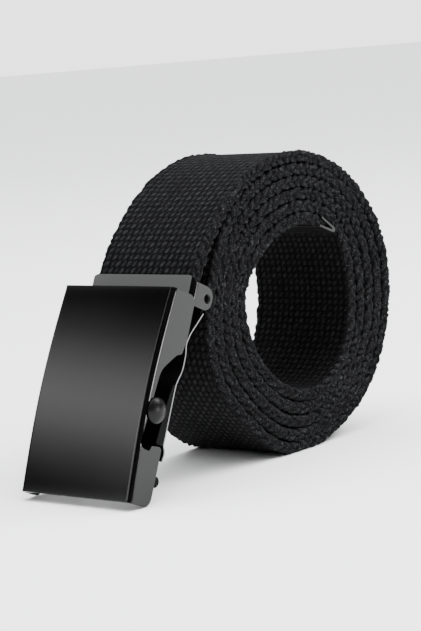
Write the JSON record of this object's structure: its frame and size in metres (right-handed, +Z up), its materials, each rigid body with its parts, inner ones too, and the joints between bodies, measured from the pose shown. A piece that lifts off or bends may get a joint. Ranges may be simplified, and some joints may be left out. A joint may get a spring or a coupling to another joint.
{
  "type": "canvas web belt",
  "caption": "Canvas web belt rolled up on its edge, its open box buckle with sliding lock bar and clamp lever leaning on the roll.",
  "frame": {"origin": "middle of the flat stretch on which the roll rests, half way across the webbing", "axes": "+Z up, +Y along the roll's axis across the webbing, +X from the buckle towards the roll"},
  "size_m": [0.1357, 0.046, 0.0916],
  "materials": {
    "webbing": "coarse plain weave, matte black",
    "clip_steel": "plain bent steel",
    "face_enamel": "gloss black",
    "satin_black": "satin black"
  },
  "bodies": {
    "belt": {"webbing": "webbing", "tip_clip": "clip_steel", "buckle_box": "face_enamel", "end_bracket": "satin_black", "clamp_pin": "satin_black", "cross_bar": "satin_black"},
    "lever": {"clamp_lever": "satin_black"},
    "bar": {"lock_bar": "satin_black"}
  },
  "joints": [
    {"name": "lever_hinge", "type": "hinge", "parent": "belt", "child": "lever", "pos_m": [-0.04032, 0, 0.05333], "axis": [0, -1, 0], "range_deg": [0, 40]},
    {"name": "bar_slide", "type": "slide", "parent": "belt", "child": "bar", "axis": [-0.5161, 0, -0.8565], "range_m": [-0.0095, 0.009]}
  ]
}
